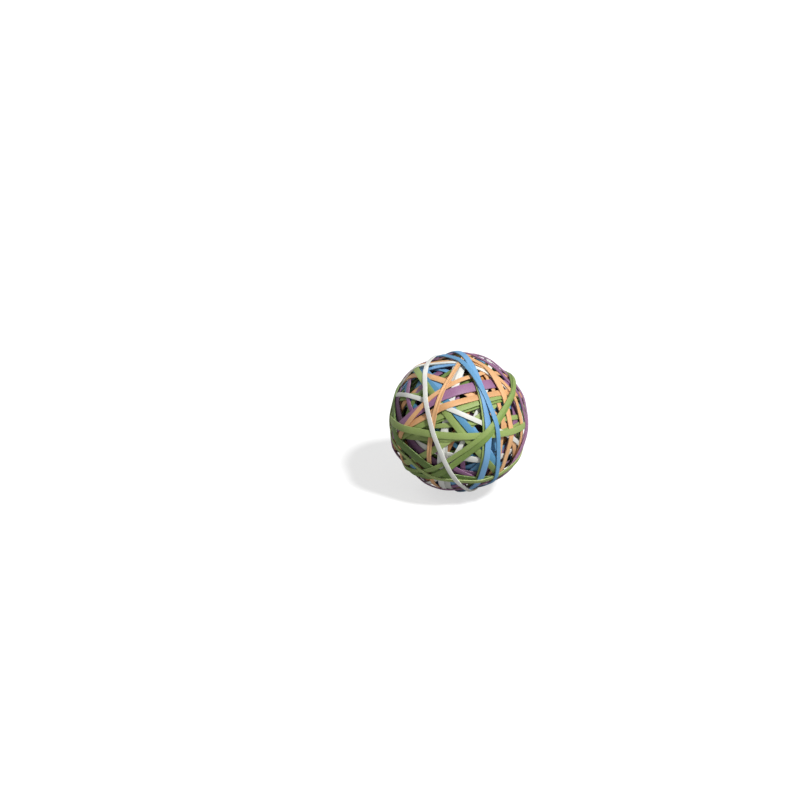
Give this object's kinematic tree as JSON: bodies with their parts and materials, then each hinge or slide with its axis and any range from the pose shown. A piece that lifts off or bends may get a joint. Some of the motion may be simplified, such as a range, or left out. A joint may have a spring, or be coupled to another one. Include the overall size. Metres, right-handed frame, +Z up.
{
  "type": "rubber band ball",
  "caption": "Ball of coloured rubber bands stretched over one another in every direction; bands are taken off it for use and put back on.",
  "frame": {"origin": "the middle of the ball", "axes": "+Z up as the ball lies in the picture, -Y towards the viewer, +X to the viewer's right"},
  "size_m": [0.0818, 0.0797, 0.0826],
  "materials": {
    "white_rubber": "semi-matte, lightly powdered, soft sheen",
    "blue_rubber": "semi-matte, lightly powdered, soft sheen",
    "orange_rubber": "semi-matte, lightly powdered, soft sheen",
    "purple_rubber": "semi-matte, lightly powdered, soft sheen",
    "green_rubber": "semi-matte, lightly powdered, soft sheen",
    "inner_rubber": "dark, shaded rubber seen down between the outer bands"
  },
  "bodies": {
    "root": {"blue_band_front": "blue_rubber", "blue_band_middle": "blue_rubber", "blue_band_over_top": "blue_rubber", "blue_band_right": "blue_rubber", "blue_band_under_02": "blue_rubber", "blue_band_under_06": "blue_rubber", "blue_band_under_08": "blue_rubber", "blue_band_under_12": "blue_rubber", "blue_band_under_14": "blue_rubber", "blue_band_under_18": "blue_rubber", "blue_band_under_20": "blue_rubber", "blue_band_upper_left": "blue_rubber", "green_band_across": "green_rubber", "green_band_front_lower": "green_rubber", "green_band_front_upper": "green_rubber", "green_band_left": "green_rubber", "green_band_low_front": "green_rubber", "green_band_lower_left": "green_rubber", "green_band_lower_right": "green_rubber", "green_band_middle": "green_rubber", "green_band_pale": "green_rubber", "green_band_right_lower": "green_rubber", "green_band_right_upper": "green_rubber", "green_band_slanted": "green_rubber", "green_band_under_01": "green_rubber", "green_band_under_04": "green_rubber", "green_band_under_07": "green_rubber", "green_band_under_10": "green_rubber", "green_band_under_13": "green_rubber", "green_band_under_16": "green_rubber", "green_band_under_19": "green_rubber", "green_band_under_22": "green_rubber", "inner_bands": "inner_rubber", "orange_band_front": "orange_rubber", "orange_band_middle": "orange_rubber", "orange_band_right": "orange_rubber", "orange_band_right_edge": "orange_rubber", "orange_band_top_right": "orange_rubber", "orange_band_under_03": "orange_rubber", "orange_band_under_09": "orange_rubber", "orange_band_under_15": "orange_rubber", "orange_band_under_21": "orange_rubber", "orange_band_upper": "orange_rubber", "orange_band_upper_left": "orange_rubber", "purple_band_low_front": "purple_rubber", "purple_band_low_right": "purple_rubber", "purple_band_lower_left": "purple_rubber", "purple_band_middle": "purple_rubber", "purple_band_outer_right": "purple_rubber", "purple_band_under_05": "purple_rubber", "purple_band_under_11": "purple_rubber", "purple_band_under_17": "purple_rubber", "purple_band_under_23": "purple_rubber", "white_band_across": "white_rubber", "white_band_front": "white_rubber", "white_band_low_right": "white_rubber", "white_band_lower": "white_rubber", "white_band_over_top": "white_rubber", "white_band_slanted": "white_rubber", "white_band_upper": "white_rubber"}
  },
  "joints": []
}
